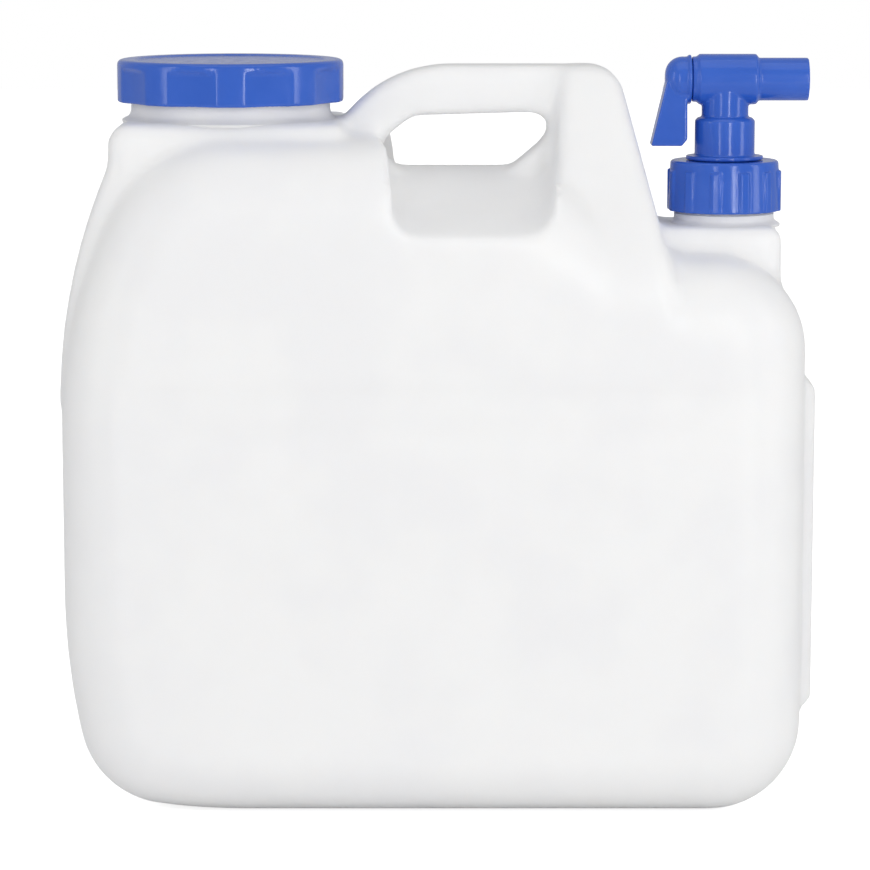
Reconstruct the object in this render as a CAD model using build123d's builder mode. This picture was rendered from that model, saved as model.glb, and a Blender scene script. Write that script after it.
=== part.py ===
"""Blow-moulded water canister with a wide screw lid and a lever tap.

X runs along the canister's length, from the lid to the tap. The front faces -Y, Z is up, and the
origin is the middle of the base. All lengths are in millimetres.
"""
import os
from math import sqrt

from build123d import *

# Clearances
face_gap = 0.3
running_gap = 0.08
seal_play = 0.5

# Canister shell
wall = 2.4
half_depth = 90.0
roll = 38.0
left_x = -183.8
right_x = 178.5
top_z = 331.0
shoulder_z = 274.0
shoulder_start_x = right_x - 66.5
top_end_x = 32.0
corner_radius = 45.0

# Upper left corner: a long arc up the flank that tightens into the top
flank_start_z = 190.0
flank_end_x = left_x + 23.8
flank_end_z = top_z - 38.0
top_start_x = left_x + 83.8

# Lower left corner, cut back so that the canister tips easily
heel_side_z = 110.0
heel_corner_x = left_x + 15.3
heel_corner_z = 8.5
heel_base_x = left_x + 88.8

# Lower front and back panels, the bead across them and the hollow under the base
panel_step = 1.0
panel_top_z = 216.0
bead_depth = 0.7
bead_length = 244.0
bead_height = 12.0
bead_z = panel_top_z - 23.5
base_hollow_depth = 3.0
base_hollow_length = 196.0
base_hollow_width = 74.0
base_hollow_x = 19.0
base_hollow_corner = 20.0

# Foot on the tap's side, for lying down with the tap at the bottom
foot_reach = 6.5
foot_half_depth = 46.0
foot_low_z = 50.0
foot_high_z = 211.0
foot_edge = 3.0
foot_root = 10.0

# Wide neck, its pad and the ridge down the left end
lid_x = left_x + 80.8
neck_radius = 49.3
neck_wall = 3.0
pad_rise = 7.0
pad_half_depth = 58.0
pad_half_length = 57.0
pad_edge = 9.0
pad_corner = 10.0
pad_top_z = top_z + pad_rise
neck_top_z = pad_top_z + 24.0
ridge_left_x = left_x - 1.2
ridge_knee_z = top_z - 13.0
ridge_foot_z = 200.0

# Small neck and its pad
tap_x = right_x - 36.3
tap_neck_radius = 23.6
tap_neck_wall = 2.8
tap_collar_reach = 1.2
tap_pad_half_depth = 33.0
tap_pad_left_x = tap_x - 38.2
tap_pad_right_x = tap_x + 26.4
tap_pad_foot_z = shoulder_z - 24.0
tap_pad_top_z = shoulder_z + 12.0
tap_pad_edge = 5.0
tap_pad_corner = 6.0
tap_collar_top_z = tap_pad_top_z + 5.0
tap_neck_top_z = tap_pad_top_z + 25.7

# Handle: a bar over the finger hole and a block that runs down into the shoulder
handle_top_z = top_z + 33.3
bar_half_depth = 15.0
bar_edge = 5.0
bar_arc_radius = 66.0
bar_arc_end_x = 5.5
bar_left_x = -47.0
bar_right_x = 66.0
bar_foot_z = top_z - 31.0
block_top_half_depth = 17.0
block_edge = 7.5
block_left_edge = 6.0
block_left_top_x = 60.0
block_left_foot_x = 52.0
block_right_top_x = 87.9
block_right_foot_x = 107.8
block_corner = 17.0
block_foot_z = panel_top_z + 9.0
slope_foot_z = shoulder_z - 8.0
slope_roll = 45.0

# Finger hole: each corner's place along X, its drop below the handle's top and its radius
hole_corners = [
    (-13.0, 25.0, 9.0),
    (54.4, 23.0, 8.0),
    (54.4, 34.8, 12.0),
    (33.5, 52.6, 14.0),
    (-17.5, 52.6, 11.0),
    (-33.0, 40.8, 8.0),
]

# Scoop under the bar that makes room for the fingers, at the mid-plane and in front
scoop_left_x = -32.0
scoop_right_x = 58.0
scoop_low_z = top_z - 16.0
scoop_front_y = half_depth + 5.0
scoop_front_left_x = -21.0
scoop_front_right_x = 55.0
scoop_front_low_z = top_z - 46.0
scoop_corner = 12.0
scoop_high_z = top_z + 69.0

# Lid and the gasket under its roof
lid_thread_room = 2.9
gasket_thick = 2.4
lid_skirt = 1.9
lid_roof = 2.6
lid_height = 21.0
lid_edge = 2.6
lid_scallops = 9
lid_scallop_turn = -67.0
lid_scallop_radius = 140.0
lid_scallop_depth = 1.9
lid_scallop_height = 17.0
lid_dish_margin = 9.0
lid_dish_depth = 0.8
lid_inner_radius = neck_radius + lid_thread_room
lid_radius = lid_inner_radius + lid_skirt + lid_scallop_depth
lid_roof_z = neck_top_z + gasket_thick
lid_top_z = lid_roof_z + lid_roof
lid_bottom_z = lid_top_z - lid_height

# Union nut and the washer under its roof
nut_thread_room = 1.8
washer_thick = 2.2
nut_skirt = 1.9
nut_roof = 3.0
nut_height = 24.9
nut_taper = 0.5
nut_ribs = 12
nut_rib_turn = -103.0
nut_rib_reach = 1.1
nut_rib_width = 5.0
nut_rib_root = 1.5
nut_rib_edge = 0.9
nut_rib_height = 20.0
nut_edge = 1.4
nut_inner_radius = tap_neck_radius + nut_thread_room
nut_radius = nut_inner_radius + nut_skirt
nut_roof_z = tap_neck_top_z + washer_thick
nut_top_z = nut_roof_z + nut_roof
nut_bottom_z = nut_top_z - nut_height

# Tap housing: spigot in the nut's roof, step, swell and stem
spigot_radius = 15.6
spigot_length = 6.9
spigot_lip = 1.0
spigot_lip_height = 2.2
step_radius = 19.1
step_height = 2.0
swell_radius = 14.9
swell_height = 21.2
swell_edge = 1.6
swell_bore = 12.3
swell_bore_height = 17.1
stem_radius = 11.6
stem_bore = 6.5
ring_section = 0.8
ring_groove_width = 1.9
ring_groove_depth = 1.7

# Tap housing: barrel and outlet along X, their ends measured from the stem's centre
barrel_rise = 39.9
barrel_radius = 12.5
barrel_edge = 1.0
barrel_collar_radius = 11.2
barrel_collar_reach = 16.7
barrel_left_reach = 14.0
barrel_right_reach = 16.0
outlet_radius = 10.6
outlet_bore = 8.2
outlet_reach = 41.0
outlet_edge = 0.8
plug_bore = 9.5
barrel_z = nut_top_z + barrel_rise

# Lever in one piece with its hollow plug, measured from the stem's centre and the barrel's axis
plug_wall = 3.0
plug_blind = 4.0
port_radius = 5.4
plug_ring_places = [-10.6, 10.8]
cap_radius = 12.2
cap_thick = 1.5
knuckle_radius = 11.2
knuckle_reach = 29.9
knuckle_round = 8.5
lever_outline = [(-29.4, -0.8), (-36.8, -32.6), (-21.8, -32.6), (-19.0, -29.3), (-19.2, -6.8), (-21.2, -0.8)]
lever_half_width = 8.5
lever_edge = 1.6
lever_wall = 2.4
lever_pocket_top = -16.5
lever_pocket_low = -30.0


def arc_radius(reach, rise):
    """Radius of an arc that leaves a straight line and is this far off it after this rise."""
    return (reach ** 2 + rise ** 2) / (2 * reach)


def scoop_form(inset):
    """Room for the fingers below the bar, running out at the front and the back."""
    ends = [
        (-scoop_front_y, scoop_front_left_x, scoop_front_right_x, scoop_front_low_z),
        (0, scoop_left_x, scoop_right_x, scoop_low_z),
        (scoop_front_y, scoop_front_left_x, scoop_front_right_x, scoop_front_low_z),
    ]
    sections = []
    for y, left, right, low in ends:
        with BuildSketch(Plane.XZ.offset(-y)) as section:
            with BuildLine():
                Polyline((left - inset, low - inset), (left - inset, scoop_high_z), (right + inset, scoop_high_z))
                Polyline((right + inset, scoop_high_z), (right + inset, low - inset), (left - inset, low - inset))
            make_face()
            fillet(vertices().group_by(Axis.Y)[0], radius=scoop_corner + inset)
        sections.append(section.sketch)
    with BuildPart() as scoop:
        loft(sections[:2], ruled=True)
        loft(sections[1:], ruled=True)
    return scoop.part


def belly_form(inset):
    """Main body: the front outline, rolled over at its front and back edges."""
    heel_radius = arc_radius(heel_corner_x - left_x, heel_side_z - heel_corner_z)
    base_radius = arc_radius(heel_corner_z, heel_base_x - heel_corner_x)
    flank_radius = arc_radius(flank_end_x - left_x, flank_end_z - flank_start_z)
    heel_corner = (heel_corner_x, heel_corner_z)
    flank_end = (flank_end_x, flank_end_z)
    shoulder_corners = [(right_x, shoulder_z), (shoulder_start_x, shoulder_z), (top_end_x, top_z)]
    with BuildPart() as belly:
        with BuildSketch(Plane.XZ):
            with BuildLine():
                RadiusArc((left_x, heel_side_z), heel_corner, -heel_radius)
                RadiusArc(heel_corner, (heel_base_x, 0), -base_radius)
                Polyline((heel_base_x, 0), (right_x, 0), *shoulder_corners, (top_start_x, top_z))
                TangentArc((top_start_x, top_z), flank_end, tangent=(-1, 0))
                RadiusArc(flank_end, (left_x, flank_start_z), -flank_radius)
                Line((left_x, flank_start_z), (left_x, heel_side_z))
            make_face()
            corners = [heel_corner, (right_x, 0), *shoulder_corners]
            fillet([vertices().sort_by_distance(corner)[0] for corner in corners], radius=corner_radius)
            if inset:
                offset(amount=-inset)
        extrude(amount=half_depth - inset, both=True)
        fillet(faces().sort_by(Axis.Y)[0].edges(), radius=roll - inset)
        fillet(faces().sort_by(Axis.Y)[-1].edges(), radius=roll - inset)
        panel_y = half_depth - panel_step - inset
        panel_height = panel_top_z + inset
        for side in (-1, 1):
            with Locations((0, side * (panel_y + roll / 2), panel_height / 2)):
                Box(2 * (right_x - left_x), roll, panel_height, mode=Mode.SUBTRACT)
        with BuildSketch(Plane.XY):
            with Locations((base_hollow_x, 0)):
                hollow_size = (base_hollow_length + 2 * inset, base_hollow_width + 2 * inset)
                RectangleRounded(*hollow_size, base_hollow_corner + inset)
        extrude(amount=base_hollow_depth + inset, mode=Mode.SUBTRACT)
    return belly.part


def pad_form(inset):
    """Flat pad round the wide neck, which runs out into a ridge down the left end."""
    pad_left_x = lid_x - pad_half_length
    pad_right_x = lid_x + pad_half_length
    ridge_radius = arc_radius(pad_left_x - ridge_left_x, ridge_knee_z - ridge_foot_z)
    with BuildPart() as pad:
        with BuildSketch(Plane.XZ):
            with BuildLine():
                Polyline((pad_left_x, ridge_knee_z), (pad_left_x, pad_top_z), (pad_right_x, pad_top_z))
                Polyline((pad_right_x, pad_top_z), (pad_right_x, ridge_foot_z), (ridge_left_x, ridge_foot_z))
                RadiusArc((ridge_left_x, ridge_foot_z), (pad_left_x, ridge_knee_z), ridge_radius)
            make_face()
            top_corners = [(pad_left_x, pad_top_z), (pad_left_x, ridge_knee_z)]
            fillet([vertices().sort_by_distance(corner)[0] for corner in top_corners], radius=pad_corner)
            if inset:
                offset(amount=-inset)
        extrude(amount=pad_half_depth - inset, both=True)
        fillet(faces().sort_by(Axis.Y)[0].edges(), radius=pad_edge - inset)
        fillet(faces().sort_by(Axis.Y)[-1].edges(), radius=pad_edge - inset)
    return pad.part


def tap_pad_form(inset):
    """Pad round the small neck, its right end cut upright."""
    with BuildPart() as pad:
        with BuildSketch(Plane.XZ):
            with BuildLine():
                low_left = (tap_pad_left_x, tap_pad_foot_z)
                top_left = (tap_pad_left_x, tap_pad_top_z)
                top_right = (tap_pad_right_x, tap_pad_top_z)
                low_right = (tap_pad_right_x, tap_pad_foot_z)
                Polyline(low_left, top_left, top_right, low_right, close=True)
            make_face()
            fillet(vertices().sort_by_distance(top_right)[0], radius=tap_pad_corner)
            if inset:
                offset(amount=-inset)
        extrude(amount=tap_pad_half_depth - inset, both=True)
        fillet(faces().sort_by(Axis.Y)[0].edges(), radius=tap_pad_edge - inset)
        fillet(faces().sort_by(Axis.Y)[-1].edges(), radius=tap_pad_edge - inset)
    return pad.part


def foot_form(inset):
    """Flat foot on the right side."""
    with BuildPart() as foot:
        with BuildSketch(Plane.YZ.offset(right_x - foot_root)):
            with Locations((0, (foot_low_z + foot_high_z) / 2)):
                Rectangle(2 * (foot_half_depth - inset), foot_high_z - foot_low_z - 2 * inset)
        extrude(amount=foot_root + foot_reach - inset)
        fillet(faces().sort_by(Axis.X)[-1].edges(), radius=foot_edge - inset)
    return foot.part


def block_form(inset):
    """Right end of the handle, sloping out at the front and back into the shoulder."""
    with BuildPart() as block:
        with BuildSketch(Plane.XZ):
            slant = (block_right_foot_x - block_right_top_x) / (handle_top_z - tap_pad_top_z)
            foot_x = block_right_foot_x + slant * (tap_pad_top_z - block_foot_z)
            top_corner = (block_right_top_x, handle_top_z)
            with BuildLine():
                Polyline(
                    (block_left_foot_x, block_foot_z),
                    (block_left_top_x, handle_top_z),
                    top_corner,
                    (foot_x, block_foot_z),
                    close=True,
                )
            make_face()
            if inset:
                offset(amount=-inset, kind=Kind.INTERSECTION)
            fillet(vertices().group_by(Axis.Y)[-1].sort_by(Axis.X)[-1], radius=block_corner - inset)
        extrude(amount=half_depth, both=True)
        with BuildSketch(Plane.YZ):
            with BuildLine():
                Polyline(
                    (-half_depth, block_foot_z),
                    (-half_depth, slope_foot_z),
                    (-block_top_half_depth, handle_top_z),
                    (block_top_half_depth, handle_top_z),
                    (half_depth, slope_foot_z),
                    (half_depth, block_foot_z),
                    close=True,
                )
            make_face()
            if inset:
                offset(amount=-inset, kind=Kind.INTERSECTION)
            fillet(vertices().group_by(Axis.Y)[-1], radius=block_edge - inset)
            fillet(vertices().group_by(Axis.Y)[1], radius=slope_roll - inset)
        extrude(amount=right_x, both=True, mode=Mode.INTERSECT)
        left_wall = faces().sort_by(Axis.X)[0]
        fillet(left_wall.edges().filter_by(lambda edge: abs(edge.center().Y) > 1), radius=block_left_edge - inset)
        right_wall = faces().filter_by(GeomType.PLANE).sort_by(Axis.X)[-1]
        fillet(right_wall.edges().filter_by(lambda edge: abs(edge.center().Y) > 1), radius=block_edge - inset)
    return block.part


def bar_form(inset):
    """Handle bar with the web below it and the finger hole."""
    fall = bar_arc_radius - sqrt(bar_arc_radius ** 2 - (bar_arc_end_x - bar_left_x) ** 2)
    arc_start = (bar_left_x, handle_top_z - fall)
    arc_end = (bar_arc_end_x, handle_top_z)
    with BuildPart() as bar:
        with BuildSketch(Plane.XZ):
            with BuildLine():
                RadiusArc(arc_start, arc_end, bar_arc_radius)
                right_end = [(bar_right_x, handle_top_z), (bar_right_x, bar_foot_z)]
                Polyline(arc_end, *right_end, (bar_left_x, bar_foot_z), arc_start)
            make_face()
            with BuildLine():
                corners = [(x, handle_top_z - drop) for x, drop, radius in hole_corners]
                radii = [radius for x, drop, radius in hole_corners]
                FilletPolyline(*corners, radius=radii, close=True)
            make_face(mode=Mode.SUBTRACT)
            if inset:
                offset(amount=-inset)
        extrude(amount=bar_half_depth - inset, both=True)
        fillet(faces().sort_by(Axis.Y)[0].edges(), radius=bar_edge - inset)
        fillet(faces().sort_by(Axis.Y)[-1].edges(), radius=bar_edge - inset)
    return bar.part


def moulded_form(inset):
    """The canister's outer form without its necks, or the space inside it."""
    with BuildPart() as form:
        add(belly_form(inset))
        add(block_form(inset))
        add(scoop_form(inset), mode=Mode.SUBTRACT)
        add(pad_form(inset))
        add(tap_pad_form(inset))
        add(foot_form(inset))
        add(bar_form(inset))
    return form.part


with BuildPart() as canister:
    add(moulded_form(0))
    with BuildSketch(Plane.XY.offset(top_z)):
        with Locations((lid_x, 0)):
            Circle(neck_radius)
    extrude(amount=neck_top_z - top_z)
    with BuildSketch(Plane.XY.offset(shoulder_z)):
        with Locations((tap_x, 0)):
            Circle(tap_neck_radius + tap_collar_reach)
    extrude(amount=tap_collar_top_z - shoulder_z)
    with BuildSketch(Plane.XY.offset(shoulder_z)):
        with Locations((tap_x, 0)):
            Circle(tap_neck_radius)
    extrude(amount=tap_neck_top_z - shoulder_z)
    add(moulded_form(wall), mode=Mode.SUBTRACT)
    with BuildSketch(Plane.XY.offset(top_z)):
        with Locations((lid_x, 0)):
            Circle(neck_radius - neck_wall)
    extrude(amount=neck_top_z - top_z, mode=Mode.SUBTRACT)
    with BuildSketch(Plane.XY.offset(shoulder_z)):
        with Locations((tap_x, 0)):
            Circle(tap_neck_radius - tap_neck_wall)
    extrude(amount=tap_neck_top_z - shoulder_z, mode=Mode.SUBTRACT)
    for side in (-1, 1):
        with BuildSketch(Plane.XZ.offset(side * (half_depth - panel_step - bead_depth))):
            with Locations((0, bead_z)):
                SlotOverall(bead_length, bead_height)
        extrude(amount=side * roll, mode=Mode.SUBTRACT)
canister.part.label = "canister"

with BuildPart() as lid:
    with BuildSketch(Plane.XY.offset(lid_bottom_z)):
        with Locations((lid_x, 0)):
            Circle(lid_radius)
    extrude(amount=lid_height)
    fillet(faces().sort_by(Axis.Z)[-1].edges(), radius=lid_edge)
    with BuildSketch(Plane.XY.offset(lid_bottom_z)):
        with Locations((lid_x, 0)):
            with PolarLocations(lid_radius - lid_scallop_depth + lid_scallop_radius, lid_scallops, lid_scallop_turn):
                Circle(lid_scallop_radius)
    extrude(amount=lid_scallop_height, mode=Mode.SUBTRACT)
    with BuildSketch(Plane.XY.offset(lid_bottom_z)):
        with Locations((lid_x, 0)):
            Circle(lid_inner_radius)
    extrude(amount=lid_height - lid_roof, mode=Mode.SUBTRACT)
    with BuildSketch(Plane.XY.offset(lid_top_z - lid_dish_depth)):
        with Locations((lid_x, 0)):
            Circle(lid_radius - lid_dish_margin)
    extrude(amount=lid_dish_depth, mode=Mode.SUBTRACT)
lid.part.label = "lid"

with BuildPart() as lid_gasket:
    with BuildSketch(Plane.XY.offset(neck_top_z)):
        with Locations((lid_x, 0)):
            Circle(lid_inner_radius - seal_play)
            Circle(neck_radius - neck_wall, mode=Mode.SUBTRACT)
    extrude(amount=gasket_thick)
lid_gasket.part.label = "lid_gasket"

with BuildPart() as union_nut:
    with BuildSketch(Plane.XY.offset(nut_bottom_z)):
        with Locations((tap_x, 0)):
            Circle(nut_radius + nut_taper)
    with BuildSketch(Plane.XY.offset(nut_top_z)):
        with Locations((tap_x, 0)):
            Circle(nut_radius - nut_taper)
    loft()
    fillet(faces().sort_by(Axis.Z)[-1].edges(), radius=nut_edge)
    with BuildSketch(Plane.XY.offset(nut_bottom_z)):
        with Locations((tap_x, 0)):
            rib_middle = nut_radius + (nut_rib_reach - nut_rib_root) / 2
            with PolarLocations(rib_middle, nut_ribs, nut_rib_turn):
                RectangleRounded(nut_rib_reach + nut_rib_root, nut_rib_width, nut_rib_edge)
    extrude(amount=nut_rib_height)
    with BuildSketch(Plane.XY.offset(nut_bottom_z)):
        with Locations((tap_x, 0)):
            Circle(nut_inner_radius)
    extrude(amount=nut_height - nut_roof, mode=Mode.SUBTRACT)
    with BuildSketch(Plane.XY.offset(nut_roof_z)):
        with Locations((tap_x, 0)):
            Circle(spigot_radius + face_gap)
    extrude(amount=nut_roof, mode=Mode.SUBTRACT)
union_nut.part.label = "union_nut"

with BuildPart() as tap_washer:
    with BuildSketch(Plane.XY.offset(tap_neck_top_z)):
        with Locations((tap_x, 0)):
            Circle(nut_inner_radius - seal_play)
            Circle(spigot_radius + spigot_lip + seal_play, mode=Mode.SUBTRACT)
    extrude(amount=washer_thick)
tap_washer.part.label = "tap_washer"

spigot_ring_z = nut_roof_z + nut_roof / 2
with BuildPart() as spigot_o_ring:
    with BuildSketch(Plane.XZ):
        with Locations((tap_x + spigot_radius + face_gap - running_gap - ring_section, spigot_ring_z)):
            Circle(ring_section)
    revolve(axis=Axis((tap_x, 0, 0), (0, 0, 1)))
spigot_o_ring.part.label = "spigot_o_ring"

with BuildPart() as tap_housing:
    with BuildSketch(Plane.YZ.offset(tap_x - barrel_left_reach)):
        with Locations((0, barrel_z)):
            Circle(barrel_radius)
    extrude(amount=barrel_left_reach + barrel_right_reach)
    chamfer(faces().sort_by(Axis.X)[0].edges() + faces().sort_by(Axis.X)[-1].edges(), length=barrel_edge)
    with BuildSketch(Plane.XY.offset(nut_top_z + face_gap + step_height)):
        with Locations((tap_x, 0)):
            Circle(swell_radius)
    extrude(amount=swell_height - face_gap - step_height)
    chamfer(faces().filter_by(Plane.XY).sort_by(Axis.Z)[-1].edges(), length=swell_edge)
    with BuildSketch(Plane.XY.offset(nut_top_z + face_gap)):
        with Locations((tap_x, 0)):
            Circle(step_radius)
    extrude(amount=step_height)
    with BuildSketch(Plane.XY.offset(nut_roof_z - spigot_length)):
        with Locations((tap_x, 0)):
            Circle(spigot_radius)
    extrude(amount=spigot_length + nut_roof + face_gap)
    with BuildSketch(Plane.XY.offset(nut_roof_z - face_gap - spigot_lip_height)):
        with Locations((tap_x, 0)):
            Circle(spigot_radius + spigot_lip)
    extrude(amount=spigot_lip_height)
    with BuildSketch(Plane.XY.offset(spigot_ring_z - ring_groove_width / 2)):
        with Locations((tap_x, 0)):
            Circle(step_radius)
            Circle(spigot_radius - ring_groove_depth, mode=Mode.SUBTRACT)
    extrude(amount=ring_groove_width, mode=Mode.SUBTRACT)
    with BuildSketch(Plane.XY.offset(nut_top_z + swell_height)):
        with Locations((tap_x, 0)):
            Circle(stem_radius)
    extrude(amount=barrel_rise - swell_height)
    with BuildSketch(Plane.YZ.offset(tap_x - barrel_collar_reach)):
        with Locations((0, barrel_z)):
            Circle(barrel_collar_radius)
    extrude(amount=barrel_collar_reach - barrel_left_reach)
    with BuildSketch(Plane.YZ.offset(tap_x + barrel_right_reach)):
        with Locations((0, barrel_z)):
            Circle(outlet_radius)
    extrude(amount=outlet_reach - barrel_right_reach)
    with BuildSketch(Plane.XY.offset(nut_roof_z - spigot_length)):
        with Locations((tap_x, 0)):
            Circle(swell_bore)
    extrude(amount=spigot_length + nut_roof + swell_bore_height, mode=Mode.SUBTRACT)
    with BuildSketch(Plane.XY.offset(nut_top_z)):
        with Locations((tap_x, 0)):
            Circle(stem_bore)
    extrude(amount=barrel_rise, mode=Mode.SUBTRACT)
    with BuildSketch(Plane.YZ.offset(tap_x - barrel_collar_reach)):
        with Locations((0, barrel_z)):
            Circle(plug_bore)
    extrude(amount=barrel_collar_reach + barrel_right_reach, mode=Mode.SUBTRACT)
    with BuildSketch(Plane.YZ.offset(tap_x + barrel_right_reach)):
        with Locations((0, barrel_z)):
            Circle(outlet_bore)
    extrude(amount=outlet_reach - barrel_right_reach, mode=Mode.SUBTRACT)
tap_housing.part.label = "tap_housing"

plug_radius = plug_bore - running_gap
plug_end_x = tap_x + barrel_right_reach - face_gap
cap_left_x = tap_x - barrel_collar_reach - face_gap - cap_thick
with BuildPart() as tap_lever:
    with BuildSketch(Plane.YZ.offset(cap_left_x)):
        with Locations((0, barrel_z)):
            Circle(cap_radius)
    extrude(amount=cap_thick)
    with BuildSketch(Plane.YZ.offset(tap_x - knuckle_reach)):
        with Locations((0, barrel_z)):
            Circle(knuckle_radius)
    extrude(amount=cap_left_x - tap_x + knuckle_reach)
    fillet(faces().sort_by(Axis.X)[0].edges(), radius=knuckle_round)
    with BuildSketch(Plane.XZ):
        with BuildLine():
            Polyline(*[(tap_x + x, barrel_z + z) for x, z in lever_outline], close=True)
        make_face()
    arm = extrude(amount=lever_half_width, both=True)
    with BuildSketch(Plane.YZ.offset(cap_left_x)):
        with Locations((0, barrel_z)):
            Circle(plug_radius)
    extrude(amount=plug_end_x - cap_left_x)
    with BuildSketch(Plane.YZ.offset(cap_left_x + cap_thick + plug_blind)):
        with Locations((0, barrel_z)):
            Circle(plug_radius - plug_wall)
    extrude(amount=plug_end_x - cap_left_x - cap_thick - plug_blind, mode=Mode.SUBTRACT)
    with BuildSketch(Plane.XZ):
        with Locations((tap_x, barrel_z)):
            Circle(port_radius)
    extrude(amount=-plug_bore, mode=Mode.SUBTRACT)
    for place in plug_ring_places:
        with BuildSketch(Plane.YZ.offset(tap_x + place - ring_groove_width / 2)):
            with Locations((0, barrel_z)):
                Circle(plug_bore)
                Circle(plug_radius - ring_groove_depth, mode=Mode.SUBTRACT)
        extrude(amount=ring_groove_width, mode=Mode.SUBTRACT)
tap_lever.part.label = "tap_lever"

with BuildPart() as plug_o_rings:
    for place in plug_ring_places:
        with BuildSketch(Plane.XZ):
            with Locations((tap_x + place, barrel_z + plug_radius - ring_section)):
                Circle(ring_section)
    revolve(axis=Axis((0, 0, barrel_z), (1, 0, 0)))
plug_o_rings.part.label = "plug_o_rings"

os.makedirs("parts", exist_ok=True)
for piece in [canister, lid, lid_gasket, union_nut, tap_washer, spigot_o_ring, tap_housing, tap_lever, plug_o_rings]:
    export_step(piece.part, f"parts/{piece.part.label}.step")
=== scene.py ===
"""Water canister with a screw lid and a lever tap, finished for rendering.

The canister's skin and the blue mouldings get their soft moulded edges here, the two necks get their
threads, and every surface gets its material. Lengths are in metres, in the frame of the CAD model:
X from the lid to the tap, -Y to the front, Z up.
"""
import math

import bmesh
import bpy
from bpy.props import FloatProperty, IntProperty, PointerProperty
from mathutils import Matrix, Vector


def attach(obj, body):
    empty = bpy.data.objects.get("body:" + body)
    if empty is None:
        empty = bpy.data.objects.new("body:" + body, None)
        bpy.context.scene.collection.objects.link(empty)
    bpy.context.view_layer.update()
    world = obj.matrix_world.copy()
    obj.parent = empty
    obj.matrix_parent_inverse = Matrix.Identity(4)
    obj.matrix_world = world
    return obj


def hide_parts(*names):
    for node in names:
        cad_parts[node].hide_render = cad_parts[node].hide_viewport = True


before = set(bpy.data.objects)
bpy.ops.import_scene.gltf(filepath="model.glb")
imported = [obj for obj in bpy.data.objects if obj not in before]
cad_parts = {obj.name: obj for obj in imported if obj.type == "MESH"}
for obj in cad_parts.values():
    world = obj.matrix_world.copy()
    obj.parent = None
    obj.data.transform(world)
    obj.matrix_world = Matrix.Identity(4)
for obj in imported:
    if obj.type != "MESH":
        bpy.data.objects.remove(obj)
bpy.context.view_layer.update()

bl_info = {
    "name": "Water canister",
    "version": (1, 0, 0),
    "blender": (4, 5, 0),
    "location": "3D View > Sidebar > Canister",
    "description": "Builds the skin, necks, lid, tap and stage of a water canister",
    "category": "Object",
}


# Colours and materials


def linear(code):
    """Linear colour with alpha from an sRGB hex code."""
    values = [int(code[start:start + 2], 16) / 255 for start in (0, 2, 4)]
    return [v / 12.92 if v <= 0.04045 else ((v + 0.055) / 1.055) ** 2.4 for v in values] + [1.0]


def new_material(name):
    """Empty node material."""
    made = bpy.data.materials.new(name)
    made.use_nodes = True
    made.node_tree.nodes.clear()
    return made


def add_node(tree, kind, inputs=None, **settings):
    """Node of this kind with its settings, its inputs set to values or linked to sockets."""
    node = tree.nodes.new(kind)
    for key, value in settings.items():
        setattr(node, key, value)
    for key, value in (inputs or {}).items():
        if isinstance(value, bpy.types.NodeSocket):
            tree.links.new(value, node.inputs[key])
        else:
            node.inputs[key].default_value = value
    return node


def noise(tree, place, size, detail=2.0, roughness=0.5):
    """Noise whose lumps are about this size in metres."""
    inputs = {"Vector": place, "Scale": 1 / size, "Detail": detail, "Roughness": roughness}
    return add_node(tree, "ShaderNodeTexNoise", inputs).outputs["Fac"]


def band(tree, value, low, high, result_low=0.0, result_high=1.0):
    """Value run smoothly from one pair of limits to another."""
    inputs = {
        "Value": value,
        "From Min": low,
        "From Max": high,
        "To Min": result_low,
        "To Max": result_high,
    }
    node = add_node(tree, "ShaderNodeMapRange", inputs, interpolation_type="SMOOTHSTEP")
    return node.outputs["Result"]


def mix_colour(tree, factor, first, second):
    """Colour between two sRGB hex codes."""
    inputs = {0: factor, 6: linear(first), 7: linear(second)}
    return add_node(tree, "ShaderNodeMix", inputs, data_type="RGBA").outputs[2]


def bump(tree, height, distance, strength=1.0, below=None):
    """Bump of this height in metres, on top of another one."""
    inputs = {"Height": height, "Distance": distance, "Strength": strength}
    if below is not None:
        inputs["Normal"] = below
    return add_node(tree, "ShaderNodeBump", inputs).outputs["Normal"]


def finish_surface(tree, inputs):
    """Plastic or rubber surface with these inputs as the material's output."""
    shader = add_node(tree, "ShaderNodeBsdfPrincipled", inputs)
    add_node(tree, "ShaderNodeOutputMaterial", {"Surface": shader.outputs["BSDF"]})


def natural_hdpe():
    """Natural white polyethylene, blow moulded: waxy, slightly wavy, with a fine parting line."""
    made = new_material("hdpe_natural_blow_moulded")
    tree = made.node_tree
    place = add_node(tree, "ShaderNodeTexCoord").outputs["Object"]
    split = add_node(tree, "ShaderNodeSeparateXYZ", {"Vector": place})
    across = add_node(tree, "ShaderNodeMath", {0: split.outputs["Y"]}, operation="ABSOLUTE").outputs[0]
    line = band(tree, across, 0.0002, 0.0007, 1.0, 0.0)
    waves = bump(tree, noise(tree, place, 0.045, 1.0), 0.0004)
    skin = bump(tree, noise(tree, place, 0.0016, 3.0), 0.000025, 1.0, waves)
    seam = bump(tree, line, 0.0003, 1.0, skin)
    colour = mix_colour(tree, band(tree, noise(tree, place, 0.06, 2.0), 0.35, 0.65), "F4F4F5", "F8F8F8")
    rough = band(tree, noise(tree, place, 0.011, 4.0), 0.3, 0.7, 0.36, 0.46)
    inputs = {
        "Base Color": colour,
        "Roughness": rough,
        "IOR": 1.5,
        "Subsurface Weight": 0.4,
        "Subsurface Radius": (0.9, 0.95, 1.0),
        "Subsurface Scale": 0.006,
        "Normal": seam,
    }
    finish_surface(tree, inputs)
    return made


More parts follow.
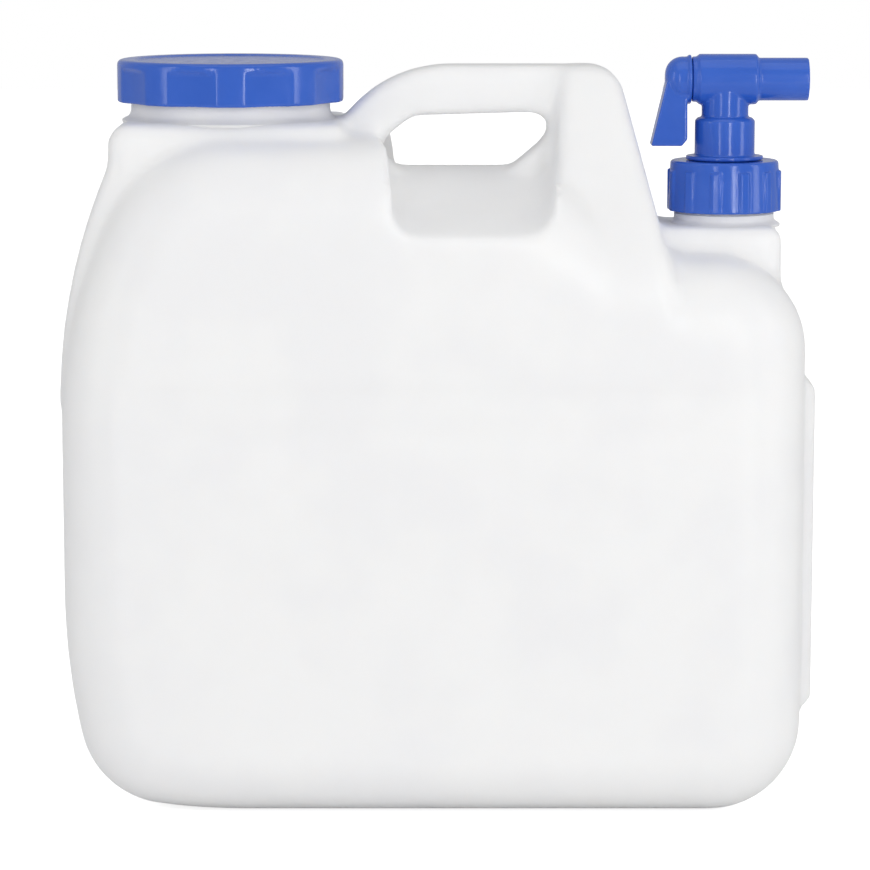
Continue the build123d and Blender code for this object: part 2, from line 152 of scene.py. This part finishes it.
def blue_polypropylene(name, dark, light):
    """Glossy blue polypropylene, injection moulded."""
    made = new_material(name)
    tree = made.node_tree
    place = add_node(tree, "ShaderNodeTexCoord").outputs["Object"]
    flow = bump(tree, noise(tree, place, 0.009, 1.0), 0.00006)
    skin = bump(tree, noise(tree, place, 0.0007, 2.0), 0.000004, 1.0, flow)
    colour = mix_colour(tree, band(tree, noise(tree, place, 0.02, 3.0), 0.3, 0.7), dark, light)
    rough = band(tree, noise(tree, place, 0.006, 4.0), 0.3, 0.7, 0.13, 0.2)
    inputs = {
        "Base Color": colour,
        "Roughness": rough,
        "IOR": 1.49,
        "Subsurface Weight": 0.06,
        "Subsurface Radius": (0.3, 0.5, 1.0),
        "Subsurface Scale": 0.0015,
        "Normal": skin,
    }
    finish_surface(tree, inputs)
    return made


def seal_rubber():
    """Dark nitrile rubber, pressed and matt."""
    made = new_material("nitrile_rubber_pressed")
    tree = made.node_tree
    place = add_node(tree, "ShaderNodeTexCoord").outputs["Object"]
    grain = bump(tree, noise(tree, place, 0.0006, 3.0), 0.00002)
    colour = mix_colour(tree, noise(tree, place, 0.004, 3.0), "26272A", "303134")
    inputs = {"Base Color": colour, "Roughness": 0.62, "IOR": 1.52, "Normal": grain}
    finish_surface(tree, inputs)
    return made


# Mesh tools


def new_object(name, mesh):
    """Object of this mesh in the scene."""
    made = bpy.data.objects.new(name, mesh)
    bpy.context.scene.collection.objects.link(made)
    return made


def from_points(name, points, faces):
    """Object from points and faces, its normals turned outward."""
    mesh = bpy.data.meshes.new(name)
    mesh.from_pydata(points, [], faces)
    shape = bmesh.new()
    shape.from_mesh(mesh)
    bmesh.ops.recalc_face_normals(shape, faces=shape.faces)
    shape.to_mesh(mesh)
    shape.free()
    return new_object(name, mesh)


def round_over(made, voxel, passes):
    """Remeshes a closed form evenly and smooths it, which rounds its edges."""
    remesh = made.modifiers.new("even_mesh", "REMESH")
    remesh.mode = "VOXEL"
    remesh.voxel_size = voxel
    smooth = made.modifiers.new("soft_edges", "SMOOTH")
    smooth.factor = 0.5
    smooth.iterations = passes
    apply_modifiers(made)
    made.data.shade_smooth()


def apply_modifiers(made):
    """Replaces an object's mesh by the result of its modifiers."""
    bpy.context.view_layer.update()
    ready = made.evaluated_get(bpy.context.evaluated_depsgraph_get())
    mesh = bpy.data.meshes.new_from_object(ready)
    made.modifiers.clear()
    made.data = mesh


def cad_copy(node, name):
    """New object with a copy of a CAD node's mesh, its doubled points joined."""
    made = new_object(name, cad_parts[node].data.copy())
    shape = bmesh.new()
    shape.from_mesh(made.data)
    bmesh.ops.remove_doubles(shape, verts=shape.verts, dist=1e-6)
    shape.to_mesh(made.data)
    shape.free()
    return made


def delete_near_axes(shape, openings, drop, margin):
    """Deletes the faces over the openings' lows less the drop, within their radii less the margin."""
    found = []
    for face in shape.faces:
        middle = face.calc_center_median()
        for x, radius, low in openings:
            if middle.z > low - drop and math.hypot(middle.x - x, middle.y) < radius - margin:
                found.append(face)
    bmesh.ops.delete(shape, geom=found, context="FACES")


def joined_to(start):
    """All points joined to this one by edges."""
    found = {start}
    waiting = [start]
    while waiting:
        vert = waiting.pop()
        for edge in vert.link_edges:
            other = edge.other_vert(vert)
            if other not in found:
                found.add(other)
                waiting.append(other)
    return found


def paint(made, material):
    """Gives an object one material."""
    made.data.materials.clear()
    made.data.materials.append(material)


def lathe(name, centre_x, profile, segments, sharp_angle):
    """Closed profile of radius and height, turned round an upright axis."""
    points = []
    faces = []
    count = len(profile)
    for turn in range(segments):
        angle = 2 * math.pi * turn / segments
        for radius, height in profile:
            points.append((centre_x + radius * math.cos(angle), radius * math.sin(angle), height))
        after = (turn + 1) % segments
        for place in range(count):
            beyond = (place + 1) % count
            here = (turn * count + place, after * count + place)
            faces.append((*here, after * count + beyond, turn * count + beyond))
    made = from_points(name, points, faces)
    made.data.shade_smooth()
    made.data.set_sharp_from_angle(angle=sharp_angle)
    return made


def thread(name, centre_x, radius, reach, low, turns, lead, width, start_angle):
    """Right-hand thread on a cylinder, tapered at both ends; a negative reach points inward."""
    steps_in_turn = 72
    steps_in_taper = 10
    least_size = 0.03
    sunk = 0.0004
    steps = int(steps_in_turn * turns)
    points = []
    faces = []
    for step in range(steps + 1):
        turned = 2 * math.pi * turns * step / steps
        angle = start_angle + turned
        height = low + lead * turned / (2 * math.pi)
        near_end = min(step, steps - step) / steps_in_taper
        size = max(least_size, min(1.0, near_end))
        root = radius - sunk * (1 if reach > 0 else -1)
        crest = radius + reach * size
        for r, z in ((root, -0.5), (crest, -0.22), (crest, 0.22), (root, 0.5)):
            points.append((centre_x + r * math.cos(angle), r * math.sin(angle), height + z * width))
        if step:
            here = 4 * step
            back = here - 4
            for side in range(4):
                other = (side + 1) % 4
                faces.append((back + side, here + side, here + other, back + other))
    faces.append((0, 1, 2, 3))
    faces.append((4 * steps + 3, 4 * steps + 2, 4 * steps + 1, 4 * steps))
    made = from_points(name, points, faces)
    made.data.shade_smooth()
    made.data.set_sharp_from_angle(angle=math.radians(50))
    return made


# Settings


class CanisterSettings(bpy.types.PropertyGroup):
    """Canister's skin."""

    voxel: FloatProperty(
        name="Mesh size", description="Size of the skin's mesh", default=0.0028, unit="LENGTH")
    passes: IntProperty(
        name="Softening", description="Smoothing passes over the skin's edges", default=7)


class NeckSettings(bpy.types.PropertyGroup):
    """Two threaded necks."""

    wide_x: FloatProperty(
        name="Wide neck", description="Place of the wide neck's axis along X",
        default=-0.103, unit="LENGTH")
    wide_radius: FloatProperty(
        name="Wide radius", description="Outside radius of the wide neck", default=0.0493, unit="LENGTH")
    wide_bore: FloatProperty(
        name="Wide bore", description="Inside radius of the wide neck", default=0.0463, unit="LENGTH")
    wide_low: FloatProperty(
        name="Wide root", description="Height of the pad under the wide neck",
        default=0.338, unit="LENGTH")
    wide_high: FloatProperty(
        name="Wide rim", description="Height of the wide neck's rim",
        default=0.362, unit="LENGTH")
    small_x: FloatProperty(
        name="Small neck", description="Place of the small neck's axis along X",
        default=0.1422, unit="LENGTH")
    small_radius: FloatProperty(
        name="Small radius", description="Outside radius of the small neck", default=0.0236, unit="LENGTH")
    small_bore: FloatProperty(
        name="Small bore", description="Inside radius of the small neck", default=0.0208, unit="LENGTH")
    small_low: FloatProperty(
        name="Small root", description="Height of the pad under the small neck",
        default=0.286, unit="LENGTH")
    small_high: FloatProperty(
        name="Small rim", description="Height of the small neck's rim", default=0.3117, unit="LENGTH")
    lead: FloatProperty(
        name="Lead", description="Rise of both threads in one turn", default=0.006, unit="LENGTH")


class BlueSettings(bpy.types.PropertyGroup):
    """Blue mouldings."""

    voxel: FloatProperty(
        name="Mesh size", description="Size of the tap's mesh", default=0.00055, unit="LENGTH")
    lid_voxel: FloatProperty(
        name="Lid mesh size", description="Size of the lid's mesh", default=0.0009, unit="LENGTH")
    passes: IntProperty(
        name="Softening", description="Smoothing passes over the edges", default=4)


class StageSettings(bpy.types.PropertyGroup):
    """Floor, light and camera."""

    distance: FloatProperty(
        name="Distance", description="Camera's distance in front of the middle plane",
        default=1.8, unit="LENGTH")
    height: FloatProperty(
        name="Height", description="Camera's height above the floor", default=0.457, unit="LENGTH")
    side: FloatProperty(
        name="Side", description="Camera's place along X", default=-0.0017, unit="LENGTH")
    pitch: FloatProperty(
        name="Pitch", description="Camera's tilt down", default=math.radians(8.8), subtype="ANGLE")
    lens: FloatProperty(
        name="Lens", description="Focal length in millimetres", default=149.8)


# Pieces


class CANISTER_OT_skin(bpy.types.Operator):
    """Make the canister's skin from its CAD form, with soft blow-moulded edges"""

    bl_idname = "canister.skin"
    bl_label = "Canister skin"

    def execute(self, context):
        settings = context.scene.canister_skin
        necks = context.scene.canister_necks
        material = natural_hdpe()
        skin = cad_copy("canister", "canister_skin")
        inside = cad_copy("canister", "canister_inside")
        openings = [
            (necks.wide_x, necks.wide_radius + 0.001, necks.wide_low + 0.0005),
            (necks.small_x, necks.small_radius + 0.002, necks.small_low + 0.0005),
        ]
        for made, outer in ((skin, True), (inside, False)):
            shape = bmesh.new()
            shape.from_mesh(made.data)
            delete_near_axes(shape, openings, 0.0, 0.0)
            start = max(shape.verts, key=lambda vert: vert.co.y if vert.link_faces else -1.0)
            found = joined_to(start)
            drop = [vert for vert in shape.verts if (vert in found) != outer]
            bmesh.ops.delete(shape, geom=drop, context="VERTS")
            if outer:
                bmesh.ops.holes_fill(shape, edges=shape.edges)
            bmesh.ops.recalc_face_normals(shape, faces=shape.faces)
            shape.to_mesh(made.data)
            shape.free()
        round_over(skin, settings.voxel, settings.passes)
        shape = bmesh.new()
        shape.from_mesh(skin.data)
        delete_near_axes(shape, openings, 0.004, 0.003)
        shape.to_mesh(skin.data)
        shape.free()
        inside.data.shade_smooth()
        inside.data.set_sharp_from_angle(angle=math.radians(30))
        for made in (skin, inside):
            paint(made, material)
            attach(made, "canister")
        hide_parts("canister")
        return {"FINISHED"}


class CANISTER_OT_necks(bpy.types.Operator):
    """Turn the two necks with their beads and threads"""

    bl_idname = "canister.necks"
    bl_label = "Threaded necks"

    def execute(self, context):
        n = context.scene.canister_necks
        material = bpy.data.materials["hdpe_natural_blow_moulded"]
        wide_profile = [
            (n.wide_bore, n.wide_low - 0.0026),
            (n.wide_bore, n.wide_high - 0.0005),
            (n.wide_bore + 0.0005, n.wide_high),
            (n.wide_radius - 0.0006, n.wide_high),
            (n.wide_radius, n.wide_high - 0.0006),
            (n.wide_radius, n.wide_low + 0.0045),
            (n.wide_radius + 0.0004, n.wide_low + 0.0026),
            (n.wide_radius + 0.0014, n.wide_low + 0.001),
            (n.wide_radius + 0.0032, n.wide_low + 0.0002),
            (n.wide_radius + 0.0045, n.wide_low - 0.0005),
            (n.wide_radius + 0.0045, n.wide_low - 0.0016),
        ]
        small_profile = [
            (n.small_bore, n.small_low - 0.0026),
            (n.small_bore, n.small_high - 0.0005),
            (n.small_bore + 0.0005, n.small_high),
            (n.small_radius - 0.0006, n.small_high),
            (n.small_radius, n.small_high - 0.0006),
            (n.small_radius, n.small_low + 0.0056),
            (n.small_radius + 0.0012, n.small_low + 0.0046),
            (n.small_radius + 0.0012, n.small_low + 0.0022),
            (n.small_radius + 0.0019, n.small_low + 0.0009),
            (n.small_radius + 0.0032, n.small_low + 0.0002),
            (n.small_radius + 0.0042, n.small_low - 0.0005),
            (n.small_radius + 0.0042, n.small_low - 0.0016),
        ]
        angle = math.radians(40)
        wide_start = n.wide_low + 0.0105
        small_start = n.small_low + 0.0095
        pieces = [
            lathe("wide_neck", n.wide_x, wide_profile, 160, angle),
            lathe("small_neck", n.small_x, small_profile, 96, angle),
            thread(
                "wide_neck_thread", n.wide_x, n.wide_radius, 0.0016, wide_start, 1.8, n.lead, 0.0024, 0.5),
            thread(
                "small_neck_thread", n.small_x, n.small_radius, 0.001, small_start, 2.0, n.lead, 0.0022, 1.5),
        ]
        for made in pieces:
            paint(made, material)
            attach(made, "canister")
        return {"FINISHED"}


class CANISTER_OT_lid(bpy.types.Operator):
    """Make the lid with rounded edges and its inner thread"""

    bl_idname = "canister.lid"
    bl_label = "Screw lid"

    def execute(self, context):
        settings = context.scene.canister_blue
        n = context.scene.canister_necks
        material = blue_polypropylene("polypropylene_blue_lid", "2F5FC4", "3463C8")
        lid = cad_copy("lid", "screw_lid")
        round_over(lid, settings.lid_voxel, settings.passes)
        inner = n.wide_radius + 0.0029
        start = n.wide_low + 0.0135
        grip = thread("lid_thread", n.wide_x, inner, -0.0014, start, 1.4, n.lead, 0.0022, 0.5)
        for made in (lid, grip):
            paint(made, material)
            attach(made, "lid")
        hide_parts("lid")
        return {"FINISHED"}


class CANISTER_OT_tap(bpy.types.Operator):
    """Make the union nut, tap housing and lever with rounded edges"""

    bl_idname = "canister.tap"
    bl_label = "Lever tap"

    def execute(self, context):
        settings = context.scene.canister_blue
        n = context.scene.canister_necks
        material = blue_polypropylene("polypropylene_blue_tap", "2F5FC4", "3463C8")
        for node, name, body in (
            ("union_nut", "union_nut_moulding", "nut"),
            ("tap_housing", "tap_housing_moulding", "tap"),
            ("tap_lever", "tap_lever_moulding", "lever"),
        ):
            made = cad_copy(node, name)
            round_over(made, settings.voxel, settings.passes)
            paint(made, material)
            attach(made, body)
            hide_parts(node)
        inner = n.small_radius + 0.0018
        start = n.small_low + 0.0125
        grip = thread("nut_thread", n.small_x, inner, -0.0009, start, 1.5, n.lead, 0.002, 1.5)
        paint(grip, material)
        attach(grip, "nut")
        return {"FINISHED"}


class CANISTER_OT_seals(bpy.types.Operator):
    """Give the gasket, washer and rings their rubber"""

    bl_idname = "canister.seals"
    bl_label = "Rubber seals"

    def execute(self, context):
        material = seal_rubber()
        for node in ("lid_gasket", "tap_washer", "spigot_o_ring", "plug_o_rings"):
            paint(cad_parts[node], material)
        return {"FINISHED"}


class CANISTER_OT_stage(bpy.types.Operator):
    """Set up the floor, the soft boxes, the surroundings and the camera"""

    bl_idname = "canister.stage"
    bl_label = "Stage"

    def execute(self, context):
        settings = context.scene.canister_stage
        scene = context.scene
        scene.view_settings.view_transform = "Standard"

        world = bpy.data.worlds.new("white_surroundings")
        world.use_nodes = True
        tree = world.node_tree
        tree.nodes.clear()
        seen = add_node(tree, "ShaderNodeLightPath").outputs["Is Camera Ray"]
        room = add_node(tree, "ShaderNodeBackground", {"Color": linear("FFFFFF"), "Strength": 0.5})
        white = add_node(tree, "ShaderNodeBackground", {"Color": linear("FFFFFF"), "Strength": 1.0})
        both = add_node(tree, "ShaderNodeMixShader", {0: seen, 1: room.outputs[0], 2: white.outputs[0]})
        add_node(tree, "ShaderNodeOutputWorld", {"Surface": both.outputs[0]})
        scene.world = world

        half = 6.0
        corners = [(-half, -half, 0), (half, -half, 0), (half, half, 0), (-half, half, 0)]
        floor = from_points("floor", corners, [(0, 1, 2, 3)])
        made = new_material("white_floor")
        tree = made.node_tree
        seen = add_node(tree, "ShaderNodeLightPath").outputs["Is Camera Ray"]
        plain = add_node(tree, "ShaderNodeBsdfDiffuse", {"Color": linear("F4F4F4")})
        veil = add_node(tree, "ShaderNodeEmission", {"Color": linear("FFFFFF"), "Strength": 0.75})
        lit = add_node(tree, "ShaderNodeAddShader", {0: plain.outputs[0], 1: veil.outputs[0]})
        both = add_node(tree, "ShaderNodeMixShader", {0: seen, 1: plain.outputs[0], 2: lit.outputs[0]})
        add_node(tree, "ShaderNodeOutputMaterial", {"Surface": both.outputs[0]})
        paint(floor, made)

        middle = Vector((0.0, 0.0, 0.2))
        for name, azimuth, elevation, reach, width, height, power in (
            ("front_left_strip", -19, 8, 1.7, 0.12, 1.3, 2.9),
            ("front_right_box", 21, 8, 1.7, 0.2, 1.3, 6.4),
            ("left_box", -64, 12, 1.6, 0.3, 1.5, 3.4),
            ("right_box", 68, 12, 1.6, 0.35, 1.5, 4.6),
            ("overhead_box", 0, 80, 1.6, 1.6, 1.2, 3.6),
        ):
            light = bpy.data.lights.new(name, "AREA")
            light.shape = "RECTANGLE"
            light.size = width
            light.size_y = height
            light.energy = power
            lamp = bpy.data.objects.new(name, light)
            turn = math.radians(azimuth)
            rise = math.radians(elevation)
            level = math.cos(rise)
            away = Vector((math.sin(turn) * level, -math.cos(turn) * level, math.sin(rise)))
            lamp.location = middle + away * reach
            lamp.rotation_euler = away.to_track_quat("Z", "Y").to_euler()
            scene.collection.objects.link(lamp)

        camera = bpy.data.objects.new("camera", bpy.data.cameras.new("camera"))
        camera.data.sensor_width = 36
        camera.data.lens = settings.lens
        camera.location = (settings.side, -settings.distance, settings.height)
        camera.rotation_euler = (math.radians(90) - settings.pitch, 0, 0)
        scene.collection.objects.link(camera)
        scene.camera = camera
        return {"FINISHED"}


class CANISTER_PT_pieces(bpy.types.Panel):
    """Buttons for the canister's pieces"""

    bl_label = "Water canister"
    bl_idname = "CANISTER_PT_pieces"
    bl_space_type = "VIEW_3D"
    bl_region_type = "UI"
    bl_category = "Canister"

    def draw(self, context):
        for settings in ("canister_skin", "canister_necks", "canister_blue", "canister_stage"):
            box = self.layout.box()
            group = getattr(context.scene, settings)
            for name in group.__annotations__:
                box.prop(group, name)
        for operator in operators:
            self.layout.operator(operator.bl_idname)


settings_groups = {
    "canister_skin": CanisterSettings,
    "canister_necks": NeckSettings,
    "canister_blue": BlueSettings,
    "canister_stage": StageSettings,
}
operators = [
    CANISTER_OT_skin,
    CANISTER_OT_necks,
    CANISTER_OT_lid,
    CANISTER_OT_tap,
    CANISTER_OT_seals,
    CANISTER_OT_stage,
]


def register():
    """Registers the settings, the operators and the panel."""
    for name, group in settings_groups.items():
        bpy.utils.register_class(group)
        setattr(bpy.types.Scene, name, PointerProperty(type=group))
    for operator in operators:
        bpy.utils.register_class(operator)
    bpy.utils.register_class(CANISTER_PT_pieces)


def unregister():
    """Takes them out again."""
    bpy.utils.unregister_class(CANISTER_PT_pieces)
    for operator in reversed(operators):
        bpy.utils.unregister_class(operator)
    for name, group in settings_groups.items():
        delattr(bpy.types.Scene, name)
        bpy.utils.unregister_class(group)


def main():
    """Builds every piece and the stage."""
    register()
    bpy.ops.canister.skin()
    bpy.ops.canister.necks()
    bpy.ops.canister.lid()
    bpy.ops.canister.tap()
    bpy.ops.canister.seals()
    bpy.ops.canister.stage()


if __name__ == "__main__":
    main()
